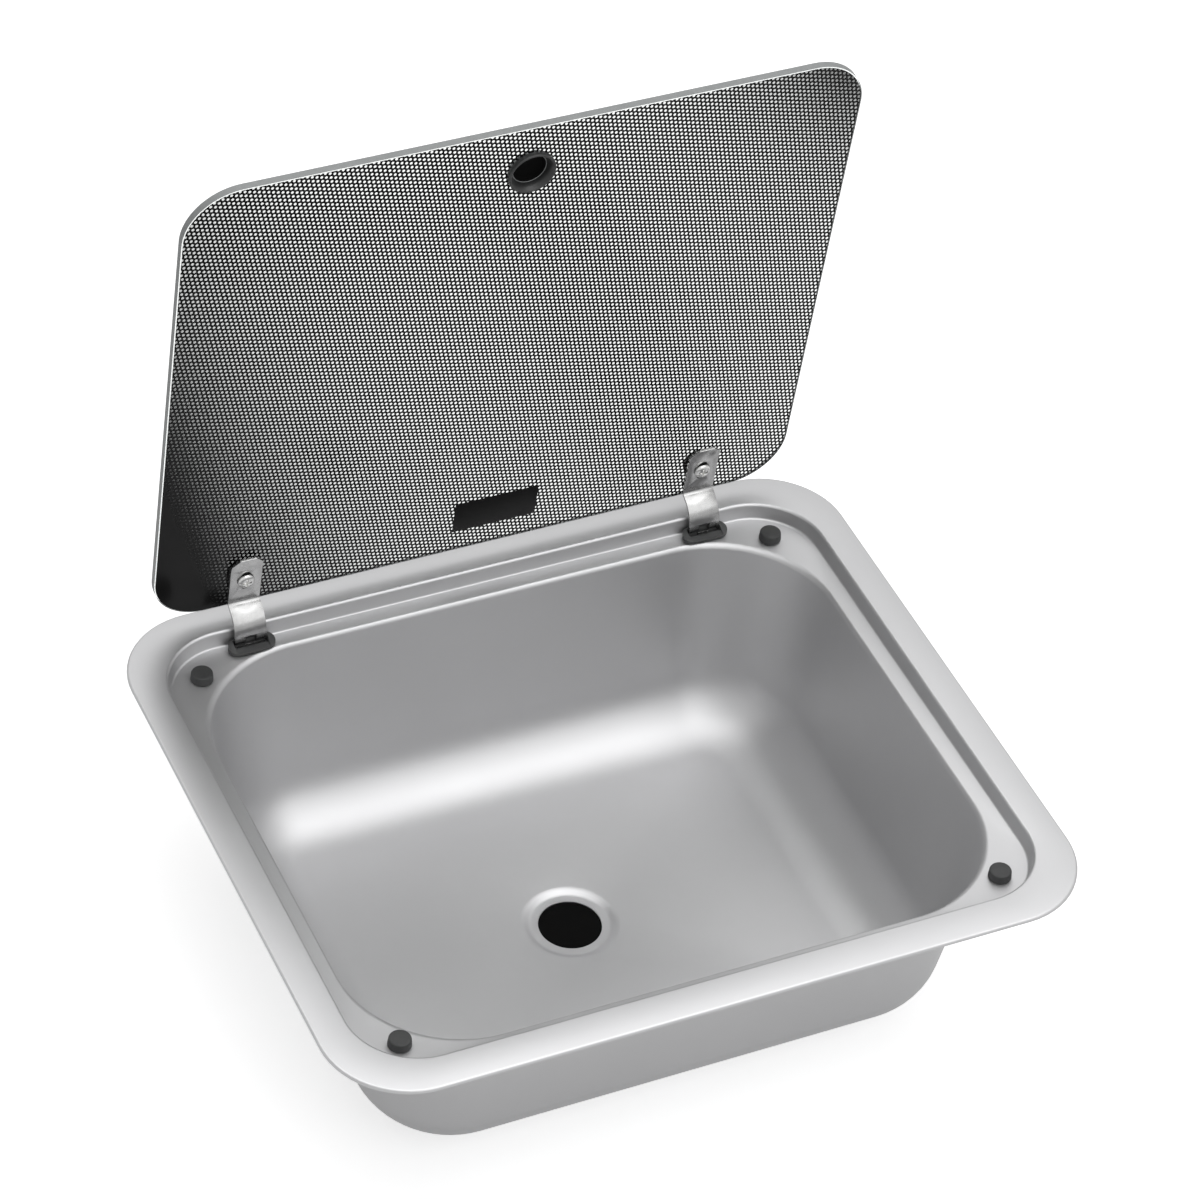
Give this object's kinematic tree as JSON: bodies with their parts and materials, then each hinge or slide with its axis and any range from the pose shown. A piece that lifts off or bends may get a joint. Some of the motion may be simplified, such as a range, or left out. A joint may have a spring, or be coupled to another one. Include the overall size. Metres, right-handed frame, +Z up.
{
  "type": "rv sink with glass lid",
  "caption": "Rectangular drop-in steel sink with a recessed rim and a dot-printed glass lid that swings up on two curved hinge straps.",
  "frame": {"origin": "middle of the rim, on the worktop's surface that the rim's seal rests on", "axes": "+Z up, +Y towards the hinge side, X along the rim's long side"},
  "size_m": [0.42, 0.36, 0.4526],
  "materials": {
    "pressed_steel": "satin pressed stainless steel",
    "strap_steel": "worn bright strip steel",
    "spring_steel": "bright zinc plate",
    "dark_rubber": "matt moulded rubber",
    "dark_plastic": "fine-grained moulded plastic",
    "printed_glass": "clear glass with a black print that leaves light dots"
  },
  "bodies": {
    "sink": {"sink_body": "pressed_steel", "rim_seal": "dark_rubber", "bumper_rear_left": "dark_rubber", "bumper_rear_right": "dark_rubber", "bumper_front_left": "dark_rubber", "bumper_front_right": "dark_rubber", "hinge_housing_left": "dark_plastic", "detent_spring_left": "spring_steel", "hinge_housing_right": "dark_plastic", "detent_spring_right": "spring_steel"},
    "lid": {"lid_glass": "printed_glass", "grip_collar": "dark_plastic", "grip_knob": "dark_plastic", "hinge_strap_left": "strap_steel", "strap_pad_left": "dark_rubber", "lid_screw_left": "spring_steel", "nut_washer_left": "dark_rubber", "cap_nut_left": "dark_plastic", "hinge_strap_right": "strap_steel", "strap_pad_right": "dark_rubber", "lid_screw_right": "spring_steel", "nut_washer_right": "dark_rubber", "cap_nut_right": "dark_plastic"}
  },
  "joints": [
    {"name": "lid_hinge", "type": "hinge", "parent": "sink", "child": "lid", "pos_m": [0, 0.17152, -0.00208], "axis": [1, 0, 0], "range_deg": [0, 83.07]}
  ]
}
